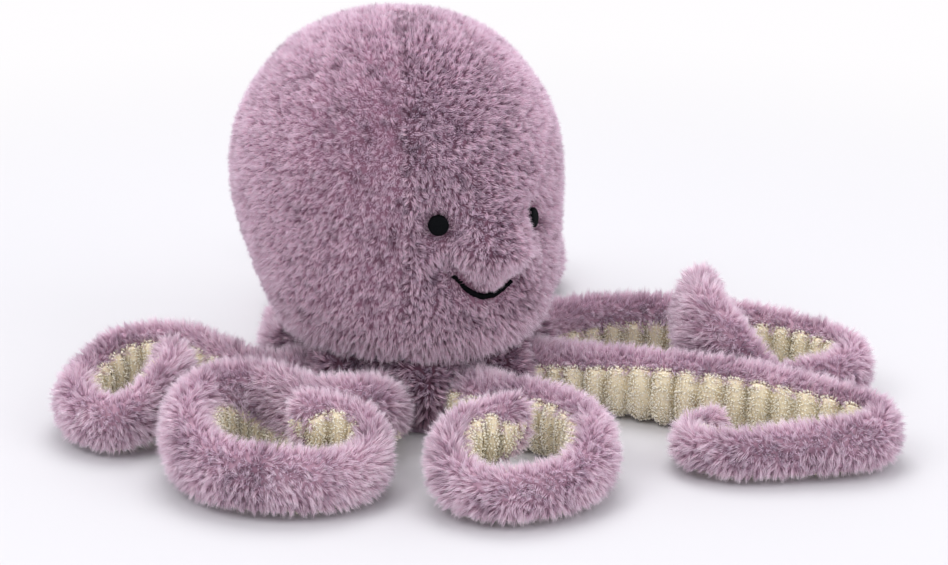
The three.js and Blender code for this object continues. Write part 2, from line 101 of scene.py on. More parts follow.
# Colours of pile from root to tip, and of its locks from dark to light. The lilac roots are darker
# with painted shade for the depth of the pile, and the lilac tips are lighter with painted light
# through the fibres
HEAD_COLOURS_WITH_PAINTED_SHADE = [(0.0, (0.28, 0.14, 0.2)), (0.42, (0.92, 0.66, 0.77)), (1.0, (1.0, 0.91, 0.99))]
HEAD_SHADES = [(0.22, (0.42, 0.32, 0.37)), (0.46, (0.98, 0.96, 0.98)), (0.8, (1, 1, 1))]
ARM_COLOURS_WITH_PAINTED_SHADE = [(0.0, (0.6, 0.39, 0.48)), (0.45, (0.95, 0.74, 0.83)), (1.0, (1.0, 0.92, 0.98))]
ARM_SHADES = [(0.2, (0.6, 0.52, 0.57)), (0.5, (0.96, 0.94, 0.96)), (0.8, (1, 1, 1))]
RIB_COLOURS = [(0.0, (1.0, 0.9, 0.68)), (0.5, (1.0, 0.94, 0.77)), (1.0, (1.0, 0.96, 0.85))]
# The chenille's darkest tone colours the painted shade in the grooves between its ribs
RIB_SHADES = [(0.0, (0.85, 0.79, 0.65)), (0.5, (1, 1, 1)), (1.0, (1, 1, 1))]
LILAC_SHEEN = (0.76, 0.78, 1.0)
CREAM_SHEEN = (1, 0.98, 0.95)

# Light and dark tones of cloth, fibre and thread, and their grain
FIBRE_TONES = (0.88, 0.87, 0.84), (0.7, 0.69, 0.66)
BASE_CLOTH_TONES = (0.42, 0.3, 0.4), (0.3, 0.2, 0.28)
COTTON_TONES = (0.78, 0.73, 0.62), (0.62, 0.57, 0.47)
THREAD_TONES = (0.006, 0.007, 0.008), (0.002, 0.002, 0.003)
GRAIN_DEPTH, GRAIN_STRENGTH = 0.4 * MM, 0.6

# Head skin
# Panels run between these angles round the head, in degrees from the middle of the face.
PANELS = {
    "face_panel": (-30, 30),
    "head_left_panel": (30, 146),
    "head_back_panel": (146, 214),
    "head_right_panel": (214, 330),
}
HEAD_COLUMNS, HEAD_ROWS = 240, 110
HEAD_SKIN_INSET = 2.8 * MM
HEAD_SMOOTHINGS = 3
HEAD_MIDDLE = np.array((0, 10, 110)) * MM
CORE_HEIGHT = 108 * MM
PROBE_REACH = 300 * MM
RIM_RADIUS = 65.7 * MM
RIM_HEIGHT = 38 * MM
BACKING = 1.2 * MM
HEAD_STUFFING_INSET = 2.2 * BACKING
HEAD_STUFFING_STEP = 4

# Face: a height or depth comes before the radius over which it fades
EYE_DIP = -2.2 * MM, 11 * MM
MUZZLE = 3.5 * MM, 16 * MM
CHEEK_DIP = -3.2 * MM, 9 * MM
CHEEK_STEP = 6
MUZZLE_EYE_SHARE, MUZZLE_SMILE_SHARE = 0.3, 0.4
EYE_RADIUS = 5.2 * MM
EYE_LIFT = 1.6 * MM
EYE_SIDES = 72
EYE_RIDGE, EYE_RIDGE_PITCH = 0.13 * MM, 0.55 * MM
EYE_EDGE_RIPPLE, EYE_EDGE_RIPPLES = 0.02, 23
# Share of the eye's radius and height in mm, from the hidden foot to the crown.
EYE_PROFILE = (
    (0.25, -8.0), (1.0, -8.0), (1.0, -1.2), (0.97, -0.5), (0.9, -0.15), (0.8, 0.1),
    (0.68, 0.25), (0.55, 0.38), (0.42, 0.46), (0.3, 0.5), (0.18, 0.53), (0.07, 0.55),
)
SMILE_POINTS = 60
STITCHES = 40
STITCH_LENGTH = 3.5 * MM
STITCH_WIDTH = 1.3 * MM
STITCH_LIFT = 1.4 * MM
STITCH_CROWN = 0.5 * MM
STITCH_SLANT = 0.3
STITCH_SIDES = 8
STITCH_SHARES = (-1, -0.8, -0.4, 0, 0.4, 0.8, 1)

# Lie and length of the head's pile
HEAD_SEED_STEP = 17
HEAD_WANDER, HEAD_WANDER_SIZE = 0.7, 45 * MM
EYE_FAN = 3.0, 10 * MM
SMILE_FAN = 2.0, 8 * MM
EYE_PILE, EYE_BARE, EYE_WHOLE_PILE = 0.4, 5.4 * MM, 15 * MM
SMILE_PILE, SMILE_BARE, SMILE_WHOLE_PILE = 0.5, 2.6 * MM, 11 * MM
HEAD_TONE, HEAD_PATCH, HEAD_FLECK = 0.5, (0.2, 22 * MM), (0.35, 6 * MM)
# A painted highlight round the smile, and the radius over which it fades
SMILE_PAINTED_HIGHLIGHT = 0.25, 9 * MM
SEAM_PARTING = 2.6 * MM
SEAM_SHORTER, SEAM_DARKER = 0.3, 0.22
NECK_PILE, NECK_FROM, NECK_TO = 1.5, 44 * MM, 58 * MM

# Arms
ARM_SKIN_INSET = 4.8 * MM
STUFFING_INSET = 10 * MM
STUFFING_SIDES, STUFFING_SHORT = 20, 3
ARM_STATIONS = 120
ROOT_STATIONS = 4
ROOT_OVERLAP = 7 * MM
TIP_SHARE, TIP_END = 0.85, 0.985
STAND_SHARE = 0.95
THINNEST = 0.4 * MM
SEAM_RADIUS = 66.3 * MM
FLOOR_CLEARANCE = 2.0 * MM
FLOOR_ROUNDING = 2 * MM
FUR_TURNS, RIB_TURNS = 40, 34
FUR_LAP, RIB_LAP = 9, 4
ARM_SEED, RIB_SEED, ARM_SEED_STEP = 100, 300, 13
ARM_WANDER, ARM_WANDER_SIZE = 0.9, 30 * MM
ARM_DROOP = 0.3
ARM_TONE, ARM_PATCH, ARM_FLECK = 0.55, (0.5, 18 * MM), (0.3, 7 * MM)
FLOOR_PILE, FLOOR_PILE_FROM, FLOOR_PILE_TO = 0.45, 2.2 * MM, 9 * MM
UNDER_PILE, UNDER_TILT, UNDER_HEIGHT = 0.3, -0.75, 5 * MM

# Ribs of the chenille, with angles in degrees
RIB_HALF_ANGLE = 68
RIB_CLOSING_ANGLE, RIB_CLOSING_FROM, RIB_CLOSING_TO = 42, 22 * MM, 4 * MM
RIB_PITCH = 12.5 * MM
RIB_CREST_INSET = 1.0 * MM
RIB_DEPTH = 6.5 * MM
RIB_FULLNESS = 0.55
RIB_EDGE = 0.8
RIB_SKEW, RIB_SKEW_TURN = 0.15, 3
RIB_WANDER_SIZE = 5 * MM
# Painted shade in the grooves, painted light added on the crests, and a random tone in patches of a
# size
GROOVE_PAINTED_SHADE, CREST_PAINTED_LIGHT, RIB_PATCH, RIB_PATCH_SIZE = 0.15, 0.6, 0.25, 9 * MM

# Base
BAND_SIDES, BAND_ROWS = 160, 16
BAND_OUTER_INSET, BAND_INNER_INSET = 4 * MM, 8 * MM
# The band's fur is darkened with painted shade for the shadow between the arms
BAND_PAINTED_SHADE, BAND_SEED = 0.15, 77
BAND_WANDER, BAND_WANDER_SIZE = 0.6, 20 * MM
BASE_PUFF, PUFF_FULLNESS = 9 * MM, 0.7
CLOTH_BEVEL, CLOTH_MARGIN = 1 * MM, 12 * MM
POUCH_ROWS, POUCH_SIDES = 15, 64
POUCH_END, POUCH_CROWN = 0.97, 0.35
POUCH_DENT, POUCH_DENTS, POUCH_TWIST = 0.012, 9, 4

# Pile locks and yarn knots
HEAD_PILE, HEAD_LOCK_SPACING = 6.0 * MM, 1.35 * MM
ARM_PILE, ARM_LOCK_SPACING = 8.0 * MM, 1.55 * MM
RIB_KNOT, RIB_KNOT_SPACING = 2.3 * MM, 1.15 * MM
LOCK_WIDTH = 1.0 * MM
PILE_INPUTS = ("Spacing", "Length", "Width", "Lay", "Ruffle", "Ruffle Size")
PILES = {
    "head": (HEAD_LOCK_SPACING, HEAD_PILE, LOCK_WIDTH, 0.25, 0.8, 4 * MM),
    "arm": (ARM_LOCK_SPACING, ARM_PILE, LOCK_WIDTH, 0.35, 0.75, 6 * MM),
    "ribs": (RIB_KNOT_SPACING, RIB_KNOT, LOCK_WIDTH, 0.25, 0.7, 2 * MM),
    "seam band": (ARM_LOCK_SPACING, ARM_PILE, LOCK_WIDTH, 0.2, 0.75, 6 * MM),
}
BARE_BELOW = 0.02
CROWDING, CLOSEST = 1.3, 0.8
SHIVER, SPIN = 0.3, 1.2
WIDTH_RANGE, LENGTH_RANGE = (0.8, 1.25), (0.72, 1.12)
LOWEST_PILE = 0.2 * MM
SKIN_SHADE, LOCK_SHADE = 0.6, 0.4

# Bake map: where it starts, how far it spans, and how wide one lock or face is on it
MAP_X, MAP_SPAN_X = 0.03, 0.94
MAP_Y, MAP_SPAN_Y = 0.02, 0.96
LOCK_STRIP = 0.03
FACE_STEP_X, FACE_STEP_Y = 0.01, 0.015

# Noise: its own seed, without which Blender takes the clock's, and the shift from one use to the next
NOISE_SEED = 1
SEED_SHIFT = (3.7, 1.3, 2.9)


def radians(values):
    return np.asarray(values) * math.pi / 180


def unit(vectors):
    length = np.linalg.norm(vectors, axis=-1, keepdims=True)
    return vectors / np.maximum(length, 1e-12)


def smooth_step(values, low, high):
    t = np.clip((np.asarray(values) - low) / (high - low), 0, 1)
    return t * t * (3 - 2 * t)


def clear_start_scene():
    """Remove what Blender starts with, and keep the frame."""
    kept = set(frame["bodies"].values()) | set(frame["nodes"].values())
    for thing in list(bpy.data.objects):
        if thing not in kept:
            bpy.data.objects.remove(thing)


# Materials

def new_material(name, roughness, specular=0.3, sheen=0.0, sheen_tint=(1, 1, 1)):
    material = bpy.data.materials.new(name)
    material.use_nodes = True
    shader = material.node_tree.nodes["Principled BSDF"]
    shader.inputs["Roughness"].default_value = roughness
    shader.inputs["Specular IOR Level"].default_value = specular
    shader.inputs["Sheen Weight"].default_value = sheen
    shader.inputs["Sheen Roughness"].default_value = 0.5
    shader.inputs["Sheen Tint"].default_value = (*sheen_tint, 1)
    return material, material.node_tree, shader


def ramp(tree, stops):
    node = tree.nodes.new("ShaderNodeValToRGB")
    elements = node.color_ramp.elements
    while len(elements) < len(stops):
        elements.new(0.5)
    for element, (position, colour) in zip(elements, stops):
        element.position = position
        element.color = (*colour, 1)
    return node


def pile_material(name, root_to_tip, shades, roughness, sheen, sheen_tint):
    """Pile coloured from root to tip by the map's second coordinate, and from lock to lock by
    its first."""
    material, tree, shader = new_material(name, roughness, 0.2, sheen, sheen_tint)
    place = tree.nodes.new("ShaderNodeUVMap")
    place.uv_map = "OFBake"
    split = tree.nodes.new("ShaderNodeSeparateXYZ")
    along = ramp(tree, root_to_tip)
    lock = ramp(tree, shades)
    mix = tree.nodes.new("ShaderNodeMix")
    mix.data_type = "RGBA"
    mix.blend_type = "MULTIPLY"
    mix.inputs["Factor"].default_value = 1.0
    tree.links.new(place.outputs["UV"], split.inputs["Vector"])
    tree.links.new(split.outputs["Y"], along.inputs["Fac"])
    tree.links.new(split.outputs["X"], lock.inputs["Fac"])
    tree.links.new(along.outputs["Color"], mix.inputs["A"])
    tree.links.new(lock.outputs["Color"], mix.inputs["B"])
    tree.links.new(mix.outputs["Result"], shader.inputs["Base Color"])
    return material


def woven_material(name, light, dark, scale, roughness, specular=0.2, sheen=0.2):
    """Cloth or fibre in two tones, with a fine raised grain."""
    material, tree, shader = new_material(name, roughness, specular, sheen)
    place = tree.nodes.new("ShaderNodeTexCoord")
    grain = tree.nodes.new("ShaderNodeTexNoise")
    grain.inputs["Scale"].default_value = scale
    grain.inputs["Detail"].default_value = 6
    tone = ramp(tree, [(0.35, dark), (0.65, light)])
    bump = tree.nodes.new("ShaderNodeBump")
    bump.inputs["Distance"].default_value = GRAIN_DEPTH
    bump.inputs["Strength"].default_value = GRAIN_STRENGTH
    tree.links.new(place.outputs["Object"], grain.inputs["Vector"])
    tree.links.new(grain.outputs["Fac"], tone.inputs["Fac"])
    tree.links.new(tone.outputs["Color"], shader.inputs["Base Color"])
    tree.links.new(grain.outputs["Fac"], bump.inputs["Height"])
    tree.links.new(bump.outputs["Normal"], shader.inputs["Normal"])
    return material


def make_materials():
    """Every finish, by what it is."""
    return {
        "head pile": pile_material("Lilac head pile", HEAD_COLOURS_WITH_PAINTED_SHADE, HEAD_SHADES, 0.75, 0.6,
                                   LILAC_SHEEN),
        "arm pile": pile_material("Lilac arm pile", ARM_COLOURS_WITH_PAINTED_SHADE, ARM_SHADES, 0.75, 0.6,
                                  LILAC_SHEEN),
        "chenille": pile_material("Cream chenille", RIB_COLOURS, RIB_SHADES, 0.85, 0.3,
                                  CREAM_SHEEN),
        "fibre": woven_material("White fibre", *FIBRE_TONES, 900, 0.95),
        "base cloth": woven_material("Base cloth", *BASE_CLOTH_TONES, 700, 0.9),
        "cotton": woven_material("Pouch cotton", *COTTON_TONES, 1200, 0.9),
        "thread": woven_material("Black thread", *THREAD_TONES, 2500, 0.7, specular=0.04, sheen=0),
    }


# Mesh helpers

def mesh_piece(name, points, faces, material):
    mesh = bpy.data.meshes.new(name)
    mesh.from_pydata([tuple(p) for p in points], [], [tuple(f) for f in faces])
    mesh.materials.append(material)
    piece = bpy.data.objects.new(name, mesh)
    bpy.context.scene.collection.objects.link(piece)
    turn_outwards(mesh)
    mesh.shade_smooth()
    return piece


def turn_outwards(mesh):
    shape = bmesh.new()
    shape.from_mesh(mesh)
    bmesh.ops.remove_doubles(shape, verts=shape.verts, dist=1e-6)
    bmesh.ops.recalc_face_normals(shape, faces=shape.faces)
    shape.to_mesh(mesh)
    shape.free()


def sheet_faces(rows, columns, start=0, flip=False):
    faces = []
    for r in range(rows - 1):
        for c in range(columns - 1):
            a = start + r * columns + c
            quad = (a, a + 1, a + columns + 1, a + columns)
            faces.append(quad[::-1] if flip else quad)
    return faces


def thick_sheet(outer, inner):
    """A closed thin solid between two grids of points, with its rim."""
    rows, columns = outer.shape[:2]
    size = rows * columns
    faces = sheet_faces(rows, columns) + sheet_faces(rows, columns, size, True)
    border = list(range(columns))
    border += [r * columns + columns - 1 for r in range(1, rows)]
    border += [(rows - 1) * columns + c for c in range(columns - 2, -1, -1)]
    border += [r * columns for r in range(rows - 2, 0, -1)]
    for i, a in enumerate(border):
        b = border[(i + 1) % len(border)]
        faces.append((b, a, a + size, b + size))
    return np.concatenate([outer.reshape(-1, 3), inner.reshape(-1, 3)]), faces


def closed_tube(rings):
    """A solid from rings of points, closed with a point at each end."""
    count, sides = rings.shape[:2]
    points = np.concatenate([rings.reshape(-1, 3), rings[:1].mean(1), rings[-1:].mean(1)])
    faces = []
    for r in range(count - 1):
        for c in range(sides):
            n = (c + 1) % sides
            a, b = r * sides, (r + 1) * sides
            faces.append((a + c, a + n, b + n, b + c))
    last = (count - 1) * sides
    for c in range(sides):
        n = (c + 1) % sides
        faces.append((count * sides, n, c))
        faces.append((count * sides + 1, last + c, last + n))
    return points, faces


def welded(node):
    """A node's corner points, each once, and its triangles."""
    mesh = frame["nodes"][node].data
    number, points, corners = {}, [], []
    for vertex in mesh.vertices:
        key = tuple(round(x * 1e5) for x in vertex.co)
        if key not in number:
            number[key] = len(points)
            points.append(vertex.co[:])
        corners.append(number[key])
    return np.array(points), [[corners[v] for v in face.vertices] for face in mesh.polygons]


def ring_layers(node, first):
    """The rings that a swept node is made of, in order, from the ring whose points pass first."""
    points, triangles = welded(node)
    near = [set() for _ in points]
    for triangle in triangles:
        for corner in triangle:
            near[corner].update(triangle)
    layer = set(np.flatnonzero(first(points)))
    seen, layers = set(layer), []
    while layer:
        layers.append(points[sorted(layer)])
        layer = {other for corner in layer for other in near[corner]} - seen
        seen |= layer
    return layers


def resampled(table, count):
    """Smooth values between the rows of a table, at evenly spaced places."""
    table = np.asarray(table, float).reshape(len(table), -1)
    padded = np.vstack([2 * table[0] - table[1], table, 2 * table[-1] - table[-2]])
    place = np.linspace(0, len(table) - 1, count)
    i = np.minimum(place.astype(int), len(table) - 2)
    t = (place - i)[:, None]
    p0, p1, p2, p3 = (padded[i + k] for k in range(4))
    return 0.5 * (2 * p1 + (p2 - p0) * t + (2 * p0 - 5 * p1 + 4 * p2 - p3) * t ** 2
                  + (3 * p1 - p0 - 3 * p2 + p3) * t ** 3)


def wandering(points, size, seed):
    """A smooth random vector at each point."""
    shift = Vector([seed * step for step in SEED_SHIFT])
    return np.array([noise.noise_vector(Vector(p) / size + shift)[:] for p in points])


# Pile, by Geometry Nodes

def lock_of_pile(name, blades, spread, width, flare, seed):
    """One lock of pile a unit tall: thin fibres that start apart and run out to a point, each
    leaning its own way with its flat side up."""
    random = np.random.default_rng(seed)
    points, faces, share, side = [], [], [], []
    for _ in range(blades):
        turn, reach = random.uniform(0, 2 * math.pi), spread * math.sqrt(random.uniform(0, 1))
        root = np.array([reach * math.cos(turn), reach * math.sin(turn), 0])
        tall = random.uniform(0.7, 1.05)
        lean = random.normal(0, flare, 2)
        tip = root * 0.8 + np.array([lean[0], lean[1], tall])
        across = unit(np.array([-lean[1], lean[0] + 0.3 * flare, 0.0])) * width / 2
        start = len(points)
        points += [root - across, root + across, tip]
        share += [0, 0, 1]
        side += [0, 1, 0.5]
        faces.append((start, start + 1, start + 2))
    return unit_shape(name, points, faces, share, side)


def knot_of_yarn(name, sides, width):
    """One loop of chenille a unit tall: a small pointed bead."""
    points, share, side = [(0, 0, 0)], [0], [0.5]
    for corner in range(sides):
        turn = 2 * math.pi * corner / sides
        points.append((width / 2 * math.cos(turn), width / 2 * math.sin(turn), 0.6))
        share.append(0.6)
        side.append(corner % 2)
    points.append((0, 0, 1))
    share.append(1)
    side.append(0.5)
    faces = []
    for corner in range(sides):
        here, after = 1 + corner, 1 + (corner + 1) % sides
        faces += [(0, after, here), (sides + 1, here, after)]
    return unit_shape(name, points, faces, share, side)


def unit_shape(name, points, faces, share, side):
    """A small shape for the pile's nodes to repeat, with its place from root to tip."""
    mesh = bpy.data.meshes.new(name)
    mesh.from_pydata([tuple(p) for p in points], [], faces)
    for label, values in (("share", share), ("side", side)):
        mesh.attributes.new(label, "FLOAT", "POINT").data.foreach_set("value", values)
    mesh.shade_smooth()
    shape = bpy.data.objects.new(name, mesh)
    bpy.context.scene.collection.objects.link(shape)
    return shape


def pile_nodes():
    """Stand locks of pile on a skin. The skin's attributes comb, pile and shade say which way
    they lie, how long they are and how light they are."""
    tree = bpy.data.node_groups.new("Pile", "GeometryNodeTree")
    face = tree.interface
    face.new_socket("Geometry", in_out="OUTPUT", socket_type="NodeSocketGeometry")
    face.new_socket("Geometry", in_out="INPUT", socket_type="NodeSocketGeometry")
    for label, kind, value in (
        ("Lock", "NodeSocketObject", None), ("Spacing", "NodeSocketFloat", ARM_LOCK_SPACING),
        ("Length", "NodeSocketFloat", ARM_PILE), ("Width", "NodeSocketFloat", LOCK_WIDTH),
        ("Lay", "NodeSocketFloat", 0.5), ("Ruffle", "NodeSocketFloat", 0.5),
        ("Ruffle Size", "NodeSocketFloat", 7 * MM), ("Material", "NodeSocketMaterial", None),
        ("Seed", "NodeSocketInt", 1),
    ):
        socket = face.new_socket(label, in_out="INPUT", socket_type=kind)
        if value is not None:
            socket.default_value = value
    nodes, links = tree.nodes, tree.links
    given = nodes.new("NodeGroupInput").outputs

    def node(kind, inputs=(), **settings):
        made = nodes.new(kind)
        for setting, value in settings.items():
            setattr(made, setting, value)
        for key, value in dict(inputs).items():
            if isinstance(value, bpy.types.NodeSocket):
                links.new(value, made.inputs[key])
            else:
                made.inputs[key].default_value = value
        return made

    def named(label, kind="FLOAT"):
        return node("GeometryNodeInputNamedAttribute", {"Name": label}, data_type=kind).outputs[0]

    def vector(operation, first, second=None, scale=None):
        made = node("ShaderNodeVectorMath", {0: first}, operation=operation)
        for key, value in ((1, second), ("Scale", scale)):
            if value is not None:
                if isinstance(value, bpy.types.NodeSocket):
                    links.new(value, made.inputs[key])
                else:
                    made.inputs[key].default_value = value
        return made.outputs[0]

    def number(operation, first, second):
        return node("ShaderNodeMath", {0: first, 1: second}, operation=operation).outputs[0]

    def random(low, high, offset):
        seed = number("ADD", given["Seed"], offset)
        made = node("FunctionNodeRandomValue", {2: low, 3: high, 8: seed}, data_type="FLOAT")
        return made.outputs[1]

    selected = node("FunctionNodeCompare", {0: named("pile"), 1: BARE_BELOW}, operation="GREATER_THAN")
    crowd = number("DIVIDE", CROWDING, number("MULTIPLY", given["Spacing"], given["Spacing"]))
    points = node("GeometryNodeDistributePointsOnFaces", {
        "Mesh": given["Geometry"], "Selection": selected.outputs[0],
        "Distance Min": number("MULTIPLY", given["Spacing"], CLOSEST), "Density Max": crowd,
        "Seed": given["Seed"]}, distribute_method="POISSON")
    normal = points.outputs["Normal"]
    comb = named("comb", "FLOAT_VECTOR")
    position = node("GeometryNodeInputPosition").outputs[0]
    ruffle_scale = number("DIVIDE", 1.0, given["Ruffle Size"])
    waves = node("ShaderNodeTexNoise", {"Vector": position, "Scale": ruffle_scale, "Detail": 2.0},
                 noise_dimensions="3D").outputs["Color"]
    waves = vector("SUBTRACT", waves, (0.5, 0.5, 0.5))
    stand = vector("ADD", normal, vector("SCALE", comb, scale=given["Lay"]))
    stand = vector("ADD", stand, vector("SCALE", waves, scale=number("MULTIPLY", given["Ruffle"], 2)))
    shiver = node("FunctionNodeRandomValue", {0: (-SHIVER,) * 3, 1: (SHIVER,) * 3,
                                              8: number("ADD", given["Seed"], 3)},
                  data_type="FLOAT_VECTOR").outputs[0]
    stand = vector("NORMALIZE", vector("ADD", stand, shiver))
    turn = node("FunctionNodeAxesToRotation", {"Primary Axis": stand, "Secondary Axis": comb},
                primary_axis="Z", secondary_axis="X").outputs[0]
    spin = node("ShaderNodeCombineXYZ", {2: random(-SPIN, SPIN, 5)}).outputs[0]
    turn = node("FunctionNodeRotateRotation", {"Rotation": turn, "Rotate By": spin},
                rotation_space="LOCAL").outputs[0]
    wide = number("MULTIPLY", given["Width"], random(*WIDTH_RANGE, 7))
    tall = number("MULTIPLY", number("MULTIPLY", given["Length"], named("pile")),
                  random(*LENGTH_RANGE, 9))
    size = node("ShaderNodeCombineXYZ", {0: wide, 1: wide, 2: tall}).outputs[0]
    lock = node("GeometryNodeObjectInfo", {"Object": given["Lock"]}).outputs["Geometry"]
    locks = node("GeometryNodeInstanceOnPoints", {
        "Points": points.outputs["Points"], "Instance": lock, "Rotation": turn, "Scale": size})
    shade = number("ADD", number("MULTIPLY", named("shade"), SKIN_SHADE), random(0.0, LOCK_SHADE, 11))
    toned = node("GeometryNodeStoreNamedAttribute", {
        "Geometry": locks.outputs[0], "Name": "shade", "Value": shade},
        data_type="FLOAT", domain="INSTANCE")
    whole = node("GeometryNodeRealizeInstances", {"Geometry": toned.outputs[0]})
    strip = number("MULTIPLY", number("SUBTRACT", named("side"), 0.5), LOCK_STRIP)
    tone = number("ADD", number("MULTIPLY", named("shade"), MAP_SPAN_X), MAP_X)
    across = number("ADD", tone, strip)
    up = number("ADD", number("MULTIPLY", named("share"), MAP_SPAN_Y), MAP_Y)
    place = node("ShaderNodeCombineXYZ", {0: across, 1: up}).outputs[0]
    mapped = node("GeometryNodeStoreNamedAttribute", {
        "Geometry": whole.outputs[0], "Name": "OFBake", "Value": place},
        data_type="FLOAT2", domain="CORNER")
    above_floor = vector("MAXIMUM", node("GeometryNodeInputPosition").outputs[0],
                         (-1.0, -1.0, LOWEST_PILE))
    pressed = node("GeometryNodeSetPosition", {"Geometry": mapped.outputs[0],
                                               "Position": above_floor})
    joined = node("GeometryNodeJoinGeometry")
    links.new(pressed.outputs[0], joined.inputs[0])
    links.new(given["Geometry"], joined.inputs[0])
    painted = node("GeometryNodeSetMaterial", {"Geometry": joined.outputs[0],
                                               "Material": given["Material"]})
    links.new(painted.outputs[0], nodes.new("NodeGroupOutput").inputs[0])
    return tree


def grow_pile(skin, tree, kind, lock, material, seed):
    """Run the pile's nodes on a skin and leave the result as its plain mesh."""
    modifier = skin.modifiers.new("Pile", "NODES")
    modifier.node_group = tree
    sockets = {item.name: item.identifier for item in tree.interface.items_tree
               if item.in_out == "INPUT"}
    settings = dict(zip(PILE_INPUTS, PILES[kind]), Lock=lock, Material=material, Seed=seed)
    for label, value in settings.items():
        modifier[sockets[label]] = value
    graph = bpy.context.evaluated_depsgraph_get()
    grown = bpy.data.meshes.new_from_object(skin.evaluated_get(graph))
    skin.modifiers.clear()
    old = skin.data
    skin.data = grown
    grown.name = skin.name
    bpy.data.meshes.remove(old)


def mark_skin(skin, comb, pile, shade):
    """Write a skin's comb, pile and shade, and its own narrow strip of the bake map."""
    mesh = skin.data
    mesh.attributes.new("comb", "FLOAT_VECTOR", "POINT").data.foreach_set(
        "vector", np.asarray(comb, np.float32).ravel())
    for label, values in (("pile", pile), ("shade", shade)):
        mesh.attributes.new(label, "FLOAT", "POINT").data.foreach_set(
            "value", np.asarray(values, np.float32))
    layer = mesh.uv_layers.new(name="OFBake")
    corner = np.empty(len(mesh.loops), np.int32)
    mesh.loops.foreach_get("vertex_index", corner)
    ripple = (np.arange(len(corner)) % 4 // 2) * FACE_STEP_Y
    place = np.stack([MAP_X + MAP_SPAN_X * np.asarray(shade)[corner], ripple], 1)
    place[:, 0] += (np.arange(len(corner)) % 2) * FACE_STEP_X
    layer.data.foreach_set("uv", place.astype(np.float32).ravel())


def points_of(piece):
    return np.array([v.co[:] for v in piece.data.vertices])


def normals_of(piece):
    return np.array([v.normal[:] for v in piece.data.vertices])


def fading(distance, height, radius):
    """A height that fades out over a radius."""
    return height * np.exp(-(distance / radius) ** 2)


def laid_on(comb, normals):
    """The comb's direction, laid along the skin."""
    return unit(comb - normals * np.sum(comb * normals, 1, keepdims=True))


def patchy(points, middle, *patches):
    """Lightness round a middle value, in patches of a depth, a size and a seed."""
    shade = np.full(len(points), middle)
    for depth, size, seed in patches:
        shade += depth * wandering(points, size, seed)[:, 0]
    return shade


def shorten(pile, distance, share, bare, full):
    """Cut the pile to a share of its length beside a bare place."""
    pile *= share + (1 - share) * smooth_step(distance, bare, full)
    pile[distance < bare] = 0


# Head

def tree_of(*nodes):
    points, faces = [], []
    for node in nodes:
        some, triangles = welded(node)
        faces += [[len(points) + c for c in triangle] for triangle in triangles]
        points += [tuple(p) for p in some]
    return BVHTree.FromPolygons(points, faces)


def head_surface(line):
    """The outside of the head's solids as a grid: one column for each angle round it, and one
    row for each share of the way from the crown to the rim."""
    solids = tree_of(*PANELS, "left_eye", "right_eye", "smile_stitching")
    low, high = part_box("head_filling")
    middle = Vector(((low.x + high.x) / 2, (low.y + high.y) / 2, CORE_HEIGHT))
    angles = radians(np.linspace(-180, 180, HEAD_COLUMNS, endpoint=False))
    reach = np.empty((HEAD_COLUMNS, HEAD_ROWS))
    ways = np.empty((HEAD_COLUMNS, HEAD_ROWS, 3))
    for c, angle in enumerate(angles):
        rim = Vector((RIM_RADIUS * math.sin(angle), -RIM_RADIUS * math.cos(angle), RIM_HEIGHT))
        down = (rim - middle).normalized()
        for r in range(HEAD_ROWS):
            way = Vector((0, 0, 1)).slerp(down, max(r, 0.3) / (HEAD_ROWS - 1) * 0.995)
            hit = solids.ray_cast(middle + way * PROBE_REACH, -way)[0]
            reach[c, r] = (hit - middle).length if hit else reach[c, r - 1]
            ways[c, r] = way
    for _ in range(HEAD_SMOOTHINGS):
        reach = (np.roll(reach, 1, 0) + 2 * reach + np.roll(reach, -1, 0)) / 4
        inner = (reach[:, :-2] + 2 * reach[:, 1:-1] + reach[:, 2:]) / 4
        reach[:, 1:-1] = inner
    surface = np.array(middle) + ways * reach[..., None]
    return surface + ways * face_relief(surface, line)[..., None]


def face_relief(surface, line):
    """How far the stuffing stands out: full between the eyes, drawn in at eyes and smile."""
    eyes = eye_places()
    muzzle = MUZZLE_EYE_SHARE * (eyes[0] + eyes[1]) + MUZZLE_SMILE_SHARE * line[len(line) // 2]
    corners = line[0] + (line[0] - line[CHEEK_STEP]), line[-1] + (line[-1] - line[-1 - CHEEK_STEP])
    relief = np.zeros(surface.shape[:2])
    for places, form in ((eyes, EYE_DIP), ([muzzle], MUZZLE), (corners, CHEEK_DIP)):
        for place in places:
            relief += fading(np.linalg.norm(surface - place, axis=2), *form)
    return relief


def eye_places():
    return [np.array((Vector(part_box(e)[0]) + Vector(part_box(e)[1])) / 2)
            for e in ("left_eye", "right_eye")]


def grid_normals(grid, away_from):
    along = np.gradient(grid, axis=1)
    around = np.roll(grid, -1, 0) - np.roll(grid, 1, 0)
    normals = unit(np.cross(around, along))
    outward = np.sign(np.sum(normals * (grid - away_from), -1, keepdims=True))
    return normals * outward


def smile_line():
    """The middle line of the smile's stitching, from corner to corner."""
    points, _ = welded("smile_stitching")
    end = points[:, 0].min()
    order = ring_layers("smile_stitching", lambda p: p[:, 0] < end + 1.2 * MM)
    return resampled([layer.mean(0) for layer in order if len(layer) > 3], SMILE_POINTS)


def face_distances(points, line):
    eyes = eye_places()
    to_eye = np.stack([np.linalg.norm(points - e, axis=1) for e in eyes])
    from_eye = np.stack([points - e for e in eyes])
    gaps = points[:, None] - line[None]
    far = np.linalg.norm(gaps, axis=2)
    nearest = far.argmin(1)
    rows = np.arange(len(points))
    return to_eye, from_eye, far[rows, nearest], gaps[rows, nearest]


def make_head(pile_tree, lock, materials):
    """The head's four panels and its stuffing, round the surface that eyes and smile sit on."""
    line = smile_line()
    surface = head_surface(line)
    normals = grid_normals(surface, surface.mean((0, 1)))
    skin = surface - normals * HEAD_SKIN_INSET
    for number, node in enumerate(PANELS, 1):
        make_head_panel(node, number, skin, normals, line, pile_tree, lock, materials["head pile"])
    make_head_stuffing(skin, normals, materials["fibre"])
    return surface, normals, line


